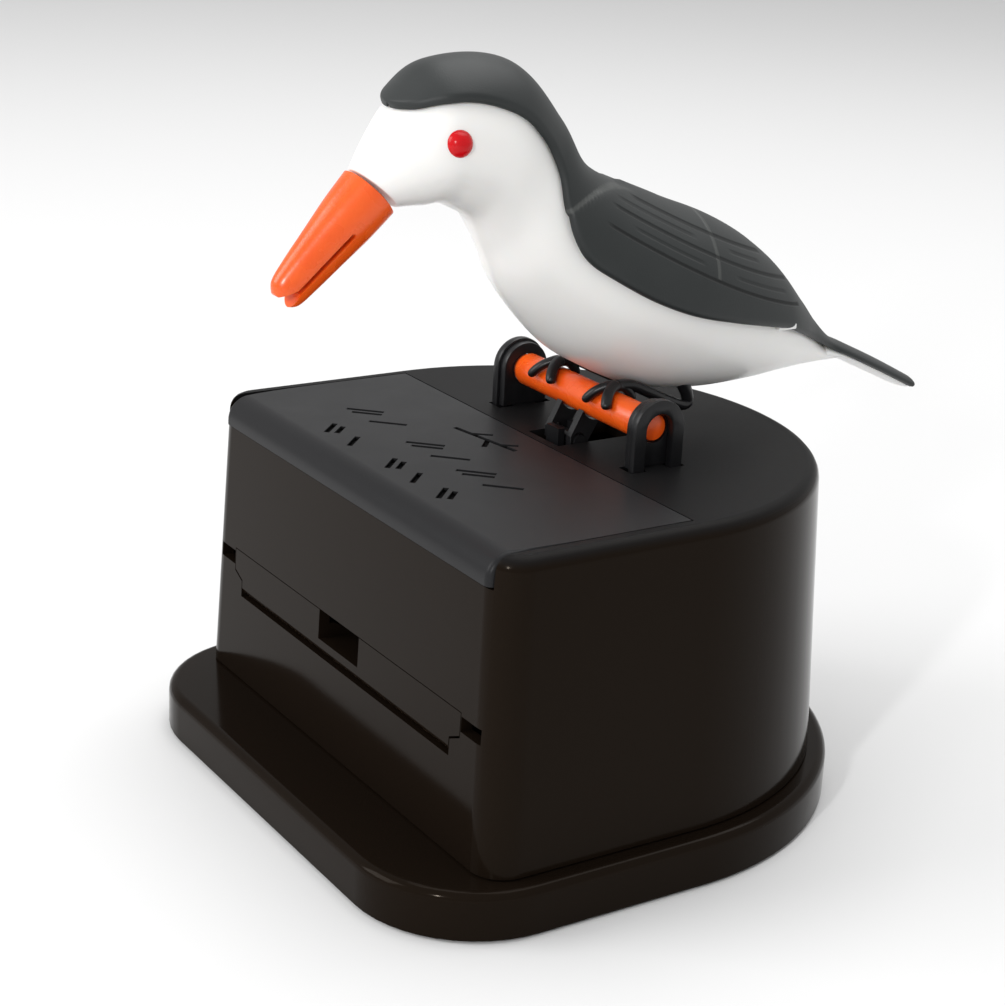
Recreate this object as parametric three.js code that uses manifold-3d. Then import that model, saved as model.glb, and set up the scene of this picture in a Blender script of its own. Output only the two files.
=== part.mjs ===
// Bird toothpick dispenser: a D-shaped box holds the toothpicks, and a bird on a turning perch rod
// pecks one out of a tray that tilts out of the front face.
// Millimetres. +Z is up, the bird faces -Y, and x = 0 is the plane of symmetry.
// The origin is on the underside, at the centre of the round rear end.
import * as THREE from 'three';
import { mergeVertices } from 'three/addons/utils/BufferGeometryUtils.js';
import Module from 'manifold-3d';

const wasm = await Module();
wasm.setup();

// ---------------------------------------------------------------- driving dimensions
const GAP = 0.3; // between two touching pieces
const PICK_CHANNEL = 67; // a 65 mm toothpick with 1 mm free at each end
const WALL = 1.8;

const BASE_HALF_WIDTH = 46;
const BASE_FRONT = -45.2;
const BASE_TOP = 7.4;
const BASE_CORNER = 18;
const ARC_CENTRE_Y = 0.3; // centre of the round rear end of the base and the housing
const COVER_THICKNESS = 1.5;

const HOUSING_HALF_WIDTH = 43.2; // at its foot
const HOUSING_FRONT = -33.7;
const HOUSING_CORNER = 5;
const HOUSING_FOOT = BASE_TOP + GAP;
const DECK_TOP = 51.8;
const DECK_THICKNESS = 2;
const SIDE_TAPER = 0.047; // how far each side leans in, per mm of height
const FRONT_TAPER = 0.034;
const REAR_TAPER = 0.06;
const TOP_FILLET = 2;

const LID_HALF_WIDTH = 38.1;
const LID_REAR = -0.9;
const LID_SKIRT_BOTTOM = 47.5;
const LID_THICKNESS = 1.7;
const LID_PROUD = 0.5;
const LID_EDGE_RADIUS = 4;

const ROD_Y = 7.7; // the perch rod, about which the bird turns
const ROD_Z = 57.6;
const ROD_RADIUS = 2.5;
const JOURNAL_RADIUS = 2;
const BRACKET_INNER_X = 16;
const BRACKET_OUTER_X = 18.8;
const BRACKET_HALF_WIDTH = 4.3;
const BRACKET_SLOT = 2.3; // half the width of the slot that the journal turns in
const WEB_THICKNESS = 1.3; // closes the slot on the bracket's inner side
const TOE_INNER = 2.8; // radii of the claws round the rod
const TOE_OUTER = 4.4;
const PECK_DEGREES = 58;

const TRAY_DEGREES = 55;
const TRAY_Y = -32; // the tray's hinge line, inside the front wall
const TRAY_Z = 22.7;
const TRAY_BARREL = 1.1;
const TRAY_TOP = 28.4;
const TRAY_HALF_WIDTH = PICK_CHANNEL / 2;
const PANEL_BACK = 0.9; // the panel's inner face, behind the hinge line
const CORNER_BACK = -0.9; // at its slanted corners the panel is thin, so that it can swing out
const TRAY_STUB_RADIUS = 0.6;
const TRAY_SWEEP = 5.2; // radius of the shutter that holds the other toothpicks back
const TRAY_FOOT_HALF_WIDTH = 31;
const TRAY_CORNER = [1.3, 2.4]; // the slanted corner starts and ends this far above the hinge line

const CRANK_LENGTH = 6.5;
const CRANK_PIN_RADIUS = 1;
const CHEEK_X = 2.8;
const CHEEK_THICKNESS = 1.2;

// The crank swings as far behind the vertical as it starts in front of it, so the slide moves
// almost evenly with the bird.
const CRANK_LEAN = THREE.MathUtils.degToRad(PECK_DEGREES / 2);
const SLIDE_TRAVEL = 2 * CRANK_LENGTH * Math.sin(CRANK_LEAN);
const CRANK_PIN_Y = ROD_Y - CRANK_LENGTH * Math.sin(CRANK_LEAN);
const CRANK_PIN_Z = ROD_Z - CRANK_LENGTH * Math.cos(CRANK_LEAN);

// The tray's drive pin hangs below its hinge line, clear of the front wall. The slide takes it
// through TRAY_DEGREES. Half way, the pin is ahead of an even motion by PIN_LEAD, so its slot is
// that much wider.
const TRAY_TURN = THREE.MathUtils.degToRad(TRAY_DEGREES);
const TRAY_ARM_LEAN = THREE.MathUtils.degToRad(20);
const pinReach = (turn) => Math.sin(TRAY_ARM_LEAN + turn) - Math.sin(TRAY_ARM_LEAN);
const TRAY_ARM = SLIDE_TRAVEL / pinReach(TRAY_TURN);
const PIN_LEAD = TRAY_ARM * pinReach(TRAY_TURN / 2) - SLIDE_TRAVEL / 2;
const TRAY_PIN_Y = TRAY_Y + TRAY_ARM * Math.sin(TRAY_ARM_LEAN);
const TRAY_PIN_Z = TRAY_Z - TRAY_ARM * Math.cos(TRAY_ARM_LEAN);
const TRAY_PIN_RADIUS = 0.8;

// ---------------------------------------------------------------- helpers
function toSolid(geometry) {
  const bare = geometry.index ? geometry.toNonIndexed() : geometry.clone();
  bare.deleteAttribute('normal');
  bare.deleteAttribute('uv');
  const welded = mergeVertices(bare, 1e-4);
  const mesh = new wasm.Mesh({
    numProp: 3,
    vertProperties: new Float32Array(welded.attributes.position.array),
    triVerts: new Uint32Array(welded.index.array),
  });
  mesh.merge();
  return new wasm.Manifold(mesh);
}

function toGeometry(solid) {
  const mesh = solid.getMesh();
  const geometry = new THREE.BufferGeometry();
  geometry.setAttribute('position', new THREE.BufferAttribute(new Float32Array(mesh.vertProperties), 3));
  geometry.setIndex(new THREE.BufferAttribute(new Uint32Array(mesh.triVerts), 1));
  geometry.computeVertexNormals();
  return geometry;
}

function join(...solids) {
  return solids.reduce((whole, piece) => whole.add(piece));
}

function cut(solid, ...cutters) {
  return cutters.reduce((rest, cutter) => rest.subtract(cutter), solid);
}

function shapeFrom(points) {
  return new THREE.Shape(points.map(([u, v]) => new THREE.Vector2(u, v)));
}

// An outline in (x, y), raised from z0 to z1.
function riseZ(shape, z0, z1, segments = 6) {
  const geometry = new THREE.ExtrudeGeometry(shape, {
    depth: z1 - z0, bevelEnabled: false, curveSegments: segments,
  });
  return toSolid(geometry.translate(0, 0, z0));
}

// An outline in (y, z), drawn out from x0 to x1.
function drawX(shape, x0, x1, segments = 6) {
  const geometry = new THREE.ExtrudeGeometry(shape, {
    depth: x1 - x0, bevelEnabled: false, curveSegments: segments,
  });
  const turn = new THREE.Matrix4().makeBasis(
    new THREE.Vector3(0, 1, 0), new THREE.Vector3(0, 0, 1), new THREE.Vector3(1, 0, 0),
  );
  return toSolid(geometry.applyMatrix4(turn).translate(x0, 0, 0));
}

function box(x0, x1, y0, y1, z0, z1) {
  const geometry = new THREE.BoxGeometry(x1 - x0, y1 - y0, z1 - z0);
  return toSolid(geometry.translate((x0 + x1) / 2, (y0 + y1) / 2, (z0 + z1) / 2));
}

function postZ(x, y, radius, z0, z1, segments = 20) {
  const geometry = new THREE.CylinderGeometry(radius, radius, z1 - z0, segments);
  return toSolid(geometry.rotateX(Math.PI / 2).translate(x, y, (z0 + z1) / 2));
}

function rodX(x0, x1, y, z, radius, segments = 20) {
  const geometry = new THREE.CylinderGeometry(radius, radius, x1 - x0, segments);
  return toSolid(geometry.rotateZ(Math.PI / 2).translate((x0 + x1) / 2, y, z));
}

// The plan of the box: straight front with round corners, straight sides, round rear end.
function planShape(halfWidth, front, corner) {
  const shape = new THREE.Shape();
  shape.moveTo(-halfWidth + corner, front);
  shape.lineTo(halfWidth - corner, front);
  shape.absarc(halfWidth - corner, front + corner, corner, -Math.PI / 2, 0, false);
  shape.lineTo(halfWidth, ARC_CENTRE_Y);
  shape.absarc(0, ARC_CENTRE_Y, halfWidth, 0, Math.PI / 2, false);
  shape.absarc(0, ARC_CENTRE_Y, halfWidth, Math.PI / 2, Math.PI, false);
  shape.lineTo(-halfWidth, front + corner);
  shape.absarc(-halfWidth + corner, front + corner, corner, Math.PI, Math.PI * 1.5, false);
  return shape;
}

// A block of that plan with a rounded top edge, its sides and front leaning in as it rises.
function planBlock(halfWidth, front, corner, z0, z1, fillet, sideLean = 0, frontLean = 0, rearLean = 0) {
  const shape = planShape(halfWidth - fillet, front + fillet, Math.max(corner - fillet, 0.5));
  const bevel = { bevelThickness: fillet, bevelSize: fillet, bevelSegments: 3 };
  const geometry = new THREE.ExtrudeGeometry(shape, { depth: z1 - z0, curveSegments: 6, ...bevel });
  geometry.translate(0, 0, z0 - fillet);
  const position = geometry.attributes.position;
  for (let i = 0; i < position.count; i += 1) {
    const rise = position.getZ(i) - z0;
    const x = position.getX(i);
    const y = position.getY(i);
    position.setX(i, x * (1 - sideLean * rise / halfWidth));
    position.setY(i, y * (1 - (y < 0 ? frontLean / -front : rearLean / halfWidth) * rise));
  }
  return cut(toSolid(geometry), box(-99, 99, -99, 99, z0 - 9, z0));
}

// A closed body along a spine in the plane x = 0. Each station is [y, z, tilt of its section in
// degrees from +Z towards +Y, half height, half width], and they run towards +Y.
function spineBody(stations, radial, along) {
  const spine = new THREE.CatmullRomCurve3(
    stations.map(([y, z]) => new THREE.Vector3(0, y, z)), false, 'centripetal',
  );
  const sizes = new THREE.CatmullRomCurve3(
    stations.map(([, , tilt, high, wide]) => new THREE.Vector3(tilt, high, wide)), false, 'chordal',
  );
  const geometry = new THREE.CylinderGeometry(1, 1, 1, radial, along);
  const position = geometry.attributes.position;
  const centre = new THREE.Vector3();
  const size = new THREE.Vector3();
  for (let i = 0; i < position.count; i += 1) {
    const t = 0.5 - position.getY(i);
    spine.getPoint(t, centre);
    sizes.getPoint(t, size);
    const tilt = THREE.MathUtils.degToRad(size.x);
    const up = position.getX(i) * size.y;
    position.setXYZ(
      i, position.getZ(i) * size.z, centre.y + up * Math.sin(tilt), centre.z + up * Math.cos(tilt),
    );
  }
  return toSolid(geometry);
}

const grown = (stations, by) => stations.map(([y, z, t, h, w]) => [y, z, t, h + by, w + by]);

const parts = new THREE.Group();

function add(name, solid, colour, roughness, metalness = 0) {
  const material = new THREE.MeshStandardMaterial({ color: colour, roughness, metalness });
  const mesh = new THREE.Mesh(toGeometry(solid), material);
  mesh.name = name;
  parts.add(mesh);
}

const BLACK = 0x0b0b0c;
const SATIN_BLACK = 0x18181a;
const ORANGE = 0xd9480f;
const WHITE = 0xe9e6df;
const RED = 0xb3121a;
const STEEL = 0xb9bcc0;

// ---------------------------------------------------------------- box
const SCREWS = [[38.6, -22], [-38.6, -22], [28, 28], [-28, 28]];
const SCREW_RADIUS = 1.3;
const HEAD_RADIUS = 2.7;
const SPRING_X = 10;
const SPRING_Z = 12.6;
const SPRING_FRONT = -22;
const SPRING_REAR = -3;
const SPRING_COIL = 2;
const SPRING_WIRE = 0.4;
const SPRING_TURNS = 9;
const SLIDE_TOP = 9.8;
const SLIDE_BOTTOM = BASE_TOP + GAP;
const SLIDE_HALF_WIDTH = 4.6;

function bottomCover() {
  const inset = WALL + GAP;
  const outline = planShape(BASE_HALF_WIDTH - inset, BASE_FRONT + inset, BASE_CORNER - inset);
  const plate = riseZ(outline, 0, COVER_THICKNESS);
  return cut(plate, ...SCREWS.map(([x, y]) => postZ(x, y, HEAD_RADIUS + GAP, -1, 3)));
}

function basePlate() {
  const outer = planBlock(BASE_HALF_WIDTH, BASE_FRONT, BASE_CORNER, GAP, BASE_TOP, 1.4);
  const inner = riseZ(
    planShape(BASE_HALF_WIDTH - WALL, BASE_FRONT + WALL, BASE_CORNER - WALL), -1, BASE_TOP - WALL,
  );
  const rails = [-1, 1].map((side) => {
    const near = side * (SLIDE_HALF_WIDTH + GAP);
    const far = near + side * 1.4;
    return box(Math.min(near, far), Math.max(near, far), -26, -6, BASE_TOP - 0.5, SLIDE_TOP + 0.6);
  });
  const anchor = postZ(SPRING_X, SPRING_FRONT - 1.9, 1.4, BASE_TOP - 0.5, SPRING_Z + 2, 12);
  const shell = join(cut(outer, inner), ...rails, anchor);
  return cut(shell, ...SCREWS.map(([x, y]) => postZ(x, y, SCREW_RADIUS + GAP, 0, 12, 12)));
}

function baseScrew(x, y) {
  const profile = shapeFrom([[0, 0.5], [HEAD_RADIUS, 0.5], [HEAD_RADIUS, 1.6], [SCREW_RADIUS, 2.9],
    [SCREW_RADIUS, 16], [0, 17]]).getPoints();
  const geometry = new THREE.LatheGeometry(profile, 14);
  return toSolid(geometry.rotateX(Math.PI / 2)).translate([x, y, 0]);
}

function housing() {
  const outer = planBlock(
    HOUSING_HALF_WIDTH, HOUSING_FRONT, HOUSING_CORNER, HOUSING_FOOT,
    DECK_TOP, TOP_FILLET, SIDE_TAPER, FRONT_TAPER, REAR_TAPER,
  );
  const inner = planBlock(
    HOUSING_HALF_WIDTH - WALL, HOUSING_FRONT + WALL, HOUSING_CORNER - WALL, HOUSING_FOOT - 1,
    DECK_TOP - DECK_THICKNESS, 1, SIDE_TAPER, FRONT_TAPER, REAR_TAPER,
  );
  const bosses = SCREWS.map(([x, y]) => cut(
    postZ(x, y, 3.4, HOUSING_FOOT, 20, 16), postZ(x, y, SCREW_RADIUS + GAP, 0, 18, 12),
  ));
  const wellHalf = LID_HALF_WIDTH + GAP;
  const lidWell = box(-wellHalf, wellHalf, -40, LID_REAR + GAP, LID_SKIRT_BOTTOM - GAP, 60);
  const half = TRAY_HALF_WIDTH + GAP;
  const foot = TRAY_FOOT_HALF_WIDTH + GAP;
  const low = TRAY_Z - TRAY_BARREL - GAP;
  const cornerLow = TRAY_Z + TRAY_CORNER[0] - GAP;
  const cornerHigh = TRAY_Z + TRAY_CORNER[1] - GAP;
  const trayMouth = riseMouth([
    [-half, TRAY_TOP + GAP], [-half, cornerHigh], [-foot, cornerLow], [-foot, low],
    [foot, low], [foot, cornerLow], [half, cornerHigh], [half, TRAY_TOP + GAP],
  ]);
  const endWindows = [-1, 1].map((side) => {
    const inside = side * (half - 0.2);
    const outside = side * 38.5;
    return box(Math.min(inside, outside), Math.max(inside, outside), -36, -29.5, 25.8, 28);
  });
  const hingeBore = rodX(-TRAY_HALF_WIDTH, TRAY_HALF_WIDTH, TRAY_Y, TRAY_Z, TRAY_STUB_RADIUS + GAP, 12);
  const crankSlot = box(-CHEEK_X - 1.2, CHEEK_X + 1.2, 0.6, 14.8, 45, 60);
  const bracketHoles = [];
  for (const side of [-1, 1]) {
    for (const end of [-1, 1]) {
      const x = side * (BRACKET_INNER_X + BRACKET_OUTER_X) / 2;
      const y = ROD_Y + end * (BRACKET_HALF_WIDTH + 2.2) / 2;
      bracketHoles.push(box(x - 1.7, x + 1.7, y - 1.45, y + 1.45, 45, 60));
    }
  }
  const clear = box(-LID_HALF_WIDTH, LID_HALF_WIDTH, -60, 60, 2, HOUSING_FOOT);
  return cut(join(cut(outer, inner, lidWell), ...bosses), trayMouth, ...endWindows, hingeBore, crankSlot,
    ...bracketHoles, clear);
}

// An outline in (x, z) cut through the front wall.
function riseMouth(points) {
  const geometry = new THREE.ExtrudeGeometry(shapeFrom(points), { depth: 8, bevelEnabled: false });
  return toSolid(geometry.rotateX(Math.PI / 2).translate(0, -29, 0));
}

function lid() {
  const front = HOUSING_FRONT + FRONT_TAPER * (DECK_TOP - HOUSING_FOOT) - LID_PROUD;
  const outer = new THREE.Shape();
  outer.moveTo(LID_REAR, DECK_TOP);
  outer.lineTo(LID_REAR, DECK_TOP - LID_THICKNESS);
  outer.lineTo(front + LID_EDGE_RADIUS, DECK_TOP - LID_THICKNESS);
  outer.absarc(
    front + LID_EDGE_RADIUS, DECK_TOP - LID_EDGE_RADIUS, LID_EDGE_RADIUS - LID_THICKNESS,
    Math.PI / 2, Math.PI, false,
  );
  outer.lineTo(front + LID_THICKNESS, LID_SKIRT_BOTTOM);
  outer.lineTo(front, LID_SKIRT_BOTTOM);
  outer.absarc(
    front + LID_EDGE_RADIUS, DECK_TOP - LID_EDGE_RADIUS, LID_EDGE_RADIUS, Math.PI, Math.PI / 2, true,
  );
  const sheet = drawX(outer, -LID_HALF_WIDTH, LID_HALF_WIDTH, 5);
  const narrowing = SIDE_TAPER * (DECK_TOP - HOUSING_FOOT);
  const halfWidth = HOUSING_HALF_WIDTH - narrowing + LID_PROUD;
  return sheet.intersect(riseZ(planShape(halfWidth, front, HOUSING_CORNER), 40, 60));
}

function hopper() {
  const cheek = PICK_CHANNEL / 2 + 1.4;
  const front = -29.6;
  const rear = -1.9;
  const top = DECK_TOP - DECK_THICKNESS - 0.6;
  const walls = box(-cheek, cheek, front, rear, HOUSING_FOOT, top);
  const half = PICK_CHANNEL / 2;
  const room = shapeFrom([[-40, 24.4], [-25.2, 24.4], [-3.3, 33], [-3.3, 60], [-40, 60]]);
  const inside = drawX(room, -half, half);
  const below = shapeFrom([[-40, 0], [0, 0], [0, 32.8], [-1, 32.8], [-26, 23], [-40, 23]]);
  const under = drawX(below, -half, half);
  const trayRoom = rodX(-half, half, TRAY_Y, TRAY_Z, TRAY_SWEEP + GAP, 32);
  const armRoom = box(-1.4 - 2 * GAP, 1.4 + 2 * GAP, front - 1, TRAY_Y + TRAY_ARM, TRAY_Z - 1, TRAY_TOP);
  return cut(walls, inside, under, trayRoom, armRoom);
}

// ---------------------------------------------------------------- pick tray and its drive
function ringSector(inner, outer, from, to) {
  const shape = new THREE.Shape();
  const a = THREE.MathUtils.degToRad(from);
  const b = THREE.MathUtils.degToRad(to);
  shape.moveTo(TRAY_Y + inner * Math.cos(a), TRAY_Z + inner * Math.sin(a));
  shape.absarc(TRAY_Y, TRAY_Z, outer, a, b, false);
  shape.absarc(TRAY_Y, TRAY_Z, inner, b, a, true);
  return shape;
}

function toothpickTray() {
  const face = HOUSING_FRONT + FRONT_TAPER * (TRAY_Z - HOUSING_FOOT);
  const topFace = HOUSING_FRONT + FRONT_TAPER * (TRAY_TOP - HOUSING_FOOT);
  const half = TRAY_HALF_WIDTH;
  const profile = shapeFrom([
    [face, TRAY_Z], [TRAY_Y + PANEL_BACK, TRAY_Z], [TRAY_Y + 0.6, TRAY_TOP - 0.3],
    [TRAY_Y + 0.3, TRAY_TOP], [topFace, TRAY_TOP],
  ]);
  const panel = drawX(profile, -half, half);
  const barrel = rodX(-TRAY_FOOT_HALF_WIDTH, TRAY_FOOT_HALF_WIDTH, TRAY_Y, TRAY_Z, TRAY_BARREL, 16);
  const trough = shapeFrom([
    [TRAY_Y, TRAY_Z - 0.4], [TRAY_Y + 5.2, TRAY_Z - 0.4], [TRAY_Y + 4.9, TRAY_Z + 2],
    [TRAY_Y + 3.6, TRAY_Z + 2], [TRAY_Y + 1.4, TRAY_Z + 3.2], [TRAY_Y, TRAY_Z + 3.2],
  ]);
  const shelf = drawX(trough, -half + 1, half - 1);
  const shutter = drawX(ringSector(TRAY_SWEEP - 1.1, TRAY_SWEEP, -38, 28), -half + 1, half - 1, 5);
  // Only a thin front skin of the panel follows the mouth's slant. Behind it the corners are square.
  const foot = TRAY_FOOT_HALF_WIDTH;
  const cornerLow = TRAY_Z + TRAY_CORNER[0];
  const cornerHigh = TRAY_Z + TRAY_CORNER[1];
  const corners = [-1, 1].map((side) => {
    const near = side * foot;
    const far = side * (half + 1);
    const behind = box(
      Math.min(near, far), Math.max(near, far), TRAY_Y + CORNER_BACK, TRAY_Y + 8, TRAY_Z - 6, cornerHigh,
    );
    const slanted = riseMouth([
      [near, TRAY_Z - 6], [near, cornerLow], [side * half, cornerHigh],
      [far, cornerHigh], [far, TRAY_Z - 6],
    ]).intersect(box(-40, 40, -40, TRAY_Y + CORNER_BACK + 0.1, 0, 60));
    return join(behind, slanted);
  });
  const beakNotch = box(-5.9, 5.9, -40, TRAY_Y + 9, TRAY_Z + 1.2, TRAY_TOP + 3);
  const body = cut(join(panel, barrel, shelf, shutter), ...corners, beakNotch);
  const stubs = rodX(-TRAY_HALF_WIDTH + 0.4, TRAY_HALF_WIDTH - 0.4, TRAY_Y, TRAY_Z, TRAY_STUB_RADIUS, 12);
  const lever = shapeFrom([
    [TRAY_Y + 1, TRAY_Z], [TRAY_PIN_Y - 1.6, TRAY_PIN_Z], [TRAY_PIN_Y - 1, TRAY_PIN_Z - 1.3],
    [TRAY_PIN_Y + 1, TRAY_PIN_Z - 1.3], [TRAY_PIN_Y + 1.6, TRAY_PIN_Z], [TRAY_Y + 5, TRAY_Z],
  ]);
  const arm = drawX(lever, -1.4, 1.4);
  const pinHole = rodX(-3, 3, TRAY_PIN_Y, TRAY_PIN_Z, TRAY_PIN_RADIUS + 0.2, 12);
  return cut(join(body, stubs, arm), pinHole);
}

function pushSlide() {
  const strip = box(
    -SLIDE_HALF_WIDTH, SLIDE_HALF_WIDTH, TRAY_PIN_Y - 1.9, CRANK_PIN_Y + 2.4, SLIDE_BOTTOM, SLIDE_TOP,
  );
  const tabs = [-1, 1].map((side) => {
    const x = side * 2.65;
    return box(x - 0.75, x + 0.75, TRAY_PIN_Y - 1.9, TRAY_PIN_Y + 3.6, SLIDE_BOTTOM, TRAY_Z - 2);
  });
  const pinRoom = TRAY_PIN_RADIUS + 0.2;
  const traySlot = box(
    -6, 6, TRAY_PIN_Y - pinRoom, TRAY_PIN_Y + pinRoom + PIN_LEAD, TRAY_PIN_Z - 1.2, TRAY_Z,
  );
  const upright = box(-1.6, 1.6, CRANK_PIN_Y - 2.4, CRANK_PIN_Y + 2.4, SLIDE_BOTTOM, CRANK_PIN_Z + 1.6);
  const crankSlot = box(-3, 3, CRANK_PIN_Y - 1.3, CRANK_PIN_Y + 1.3, CRANK_PIN_Z - 2.4, CRANK_PIN_Z + 3);
  const ear = join(
    box(0, SPRING_X + 1.5, SPRING_REAR + 0.7, SPRING_REAR + 2.3, SLIDE_BOTTOM, SLIDE_TOP),
    box(SPRING_X - 1.5, SPRING_X + 1.5, SPRING_REAR + 0.7, SPRING_REAR + 2.3, SLIDE_BOTTOM, SPRING_Z + 2),
  );
  return cut(join(strip, ...tabs, upright, ear), traySlot, crankSlot);
}

class CoilCurve extends THREE.Curve {
  getPoint(t, target = new THREE.Vector3()) {
    const angle = 2 * Math.PI * SPRING_TURNS * t;
    const y = THREE.MathUtils.lerp(SPRING_FRONT + 0.3, SPRING_REAR - 0.1, t);
    const x = SPRING_X + SPRING_COIL * Math.cos(angle);
    return target.set(x, y, SPRING_Z + SPRING_COIL * Math.sin(angle));
  }
}

function returnSpring() {
  const section = new THREE.Shape();
  section.absarc(0, 0, SPRING_WIRE, 0, Math.PI * 2, false);
  const geometry = new THREE.ExtrudeGeometry(section, {
    steps: SPRING_TURNS * 10, curveSegments: 3, bevelEnabled: false, extrudePath: new CoilCurve(),
  });
  return toSolid(geometry);
}

// ---------------------------------------------------------------- perch
function perchRod() {
  const end = BRACKET_OUTER_X - 0.8; // the journals end inside the brackets
  const journals = rodX(-end, end, ROD_Y, ROD_Z, JOURNAL_RADIUS, 20);
  const middle = rodX(-BRACKET_INNER_X + GAP, BRACKET_INNER_X - GAP, ROD_Y, ROD_Z, ROD_RADIUS, 24);
  return join(middle, journals);
}

function perchBracket(side) {
  const crown = ROD_Z + 0.1;
  const foot = DECK_TOP - DECK_THICKNESS - 0.8;
  const arch = new THREE.Shape();
  arch.moveTo(ROD_Y - BRACKET_HALF_WIDTH, foot);
  arch.lineTo(ROD_Y - BRACKET_SLOT, foot);
  arch.lineTo(ROD_Y - BRACKET_SLOT, ROD_Z);
  arch.absarc(ROD_Y, ROD_Z, BRACKET_SLOT, Math.PI, 0, true);
  arch.lineTo(ROD_Y + BRACKET_SLOT, foot);
  arch.lineTo(ROD_Y + BRACKET_HALF_WIDTH, foot);
  arch.lineTo(ROD_Y + BRACKET_HALF_WIDTH, crown);
  arch.absarc(ROD_Y, crown, BRACKET_HALF_WIDTH, 0, Math.PI, false);
  const near = side * BRACKET_INNER_X;
  const far = side * BRACKET_OUTER_X;
  const web = side * (BRACKET_INNER_X + WEB_THICKNESS);
  const closed = box(
    Math.min(near, web), Math.max(near, web), ROD_Y - BRACKET_SLOT - 0.5, ROD_Y + BRACKET_SLOT + 0.5,
    DECK_TOP + GAP, ROD_Z,
  );
  return join(
    drawX(arch, Math.min(near, far), Math.max(near, far), 6),
    cut(closed, rodX(-20, 20, ROD_Y, ROD_Z, BRACKET_SLOT, 24)),
  );
}

function crankCheek(side) {
  const down = [-Math.sin(CRANK_LEAN), -Math.cos(CRANK_LEAN)];
  const across = [down[1], -down[0]];
  const at = (along, sideways) => [
    ROD_Y + down[0] * along + across[0] * sideways, ROD_Z + down[1] * along + across[1] * sideways,
  ];
  const outline = shapeFrom([at(2, -1.7), at(CRANK_LENGTH, -1.6), at(CRANK_LENGTH + 1.5, -0.8),
    at(CRANK_LENGTH + 1.5, 0.8), at(CRANK_LENGTH, 1.6), at(2, 1.7)]);
  const near = side * CHEEK_X - CHEEK_THICKNESS / 2;
  const plate = drawX(outline, near, near + CHEEK_THICKNESS);
  return cut(plate, rodX(-9, 9, ROD_Y, ROD_Z, ROD_RADIUS + GAP, 24),
    rodX(-9, 9, CRANK_PIN_Y, CRANK_PIN_Z, CRANK_PIN_RADIUS + 0.2, 12));
}

// ---------------------------------------------------------------- bird
const SHELL_GAP = 0.3;
const SHELL_THICKNESS = 1.1;
const BODY = [
  [-29.5, 91, -49, 4, 4.4], [-26, 93.6, -32, 6.1, 7], [-22.8, 96.1, -17, 7.8, 8.9],
  [-19.1, 97.3, -7, 9.5, 9.3], [-12, 96.1, 13, 10.5, 9.2], [-6.8, 90.2, 30, 10, 8.2],
  [-2.4, 83.2, 34, 10.2, 9.8], [7.1, 76.6, 37, 12.6, 12.8], [14.7, 73, 39, 13.6, 13.8],
  [22.8, 69.2, 39, 13.3, 13.3], [30.9, 66, 42, 11.2, 11.9], [37.7, 63.8, 43, 8.2, 9.9],
  [43.4, 62, 45, 5.3, 7.2], [49.7, 60.2, 48, 2.1, 4.8], [54.7, 59.4, 44, 0.7, 3.6],
];
const TAIL = [
  [43.1, 62, 45, 4.4, 6.2], [49.7, 60.3, 48, 1.8, 4.8], [54.7, 59.5, 40, 0.8, 4.4],
  [62, 56.3, 38, 0.65, 4.3], [69.4, 52.8, 38, 0.5, 3.9],
];
// Side view of the edge where the black shell ends on the white body.
const SHELL_EDGE = [
  [-30, 102.4], [-26.5, 102.8], [-23.1, 103.6], [-19.4, 103.8], [-15.6, 103.1], [-11.4, 101.4],
  [-8.4, 99], [-6.1, 96.4], [-4.5, 92.8], [-4.1, 88.6], [-3.3, 84.5], [-1.3, 81],
  [2.6, 78.3], [8.7, 75], [15.6, 72.4], [23.7, 70.5], [34.2, 68.3],
  [39.4, 66.7], [47.2, 63.6], [54.7, 60.2], [64.8, 55.4], [76, 50.2],
];
const BEAK = [
  [-43.2, 76.9, -45, 1.5, 1.2], [-42.3, 77.8, -45, 2.6, 2], [-40.2, 80, -45, 3.1, 2.5],
  [-36.8, 83.5, -45, 3.6, 3.1], [-33.2, 87.2, -45, 4.1, 3.8], [-29.9, 90.6, -45, 4.3, 4.3],
];
const EYE = { x: 8.3, y: -21.3, z: 98, radius: 2.1 };
const HEEL_Y = 21.2;
const HEEL_Z = 56.2;
const LEG_TOP = [6, 20.3, 61.4];
const LEG_RADIUS = 1.5;

// Everything above the shell's edge line; lower moves that line down.
function aboveShellEdge(lower) {
  const outline = SHELL_EDGE.map(([y, z], i) => {
    const [ya, za] = SHELL_EDGE[Math.max(i - 1, 0)];
    const [yb, zb] = SHELL_EDGE[Math.min(i + 1, SHELL_EDGE.length - 1)];
    const length = Math.hypot(yb - ya, zb - za);
    return [y + lower * (zb - za) / length, z - lower * (yb - ya) / length];
  });
  return drawX(shapeFrom([[-45, 103.2], ...outline, [90, 50.2], [90, 125], [-45, 125]]), -30, 30);
}

function birdBody() {
  const skin = spineBody(BODY, 24, 30);
  const hollow = spineBody(grown(BODY.slice(3, -3), -1.8), 14, 16);
  const slit = box(-3, 3, 2, 30, 76, 110);
  const sockets = [-1, 1].map((side) => toSolid(
    new THREE.SphereGeometry(EYE.radius + GAP, 14, 10).translate(side * EYE.x, EYE.y, EYE.z),
  ));
  const legHoles = [-1, 1].map((side) => join(
    shank(side, LEG_RADIUS + GAP + 0.1),
    postZ(side * LEG_TOP[0], LEG_TOP[1], LEG_RADIUS, LEG_TOP[2] - 1, LEG_TOP[2] + 0.4, 14),
  ));
  const tail = spineBody(TAIL, 12, 12);
  const body = cut(join(skin, cut(tail, aboveShellEdge(0.6))), hollow, slit, ...sockets, ...legHoles);
  return body;
}

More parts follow.
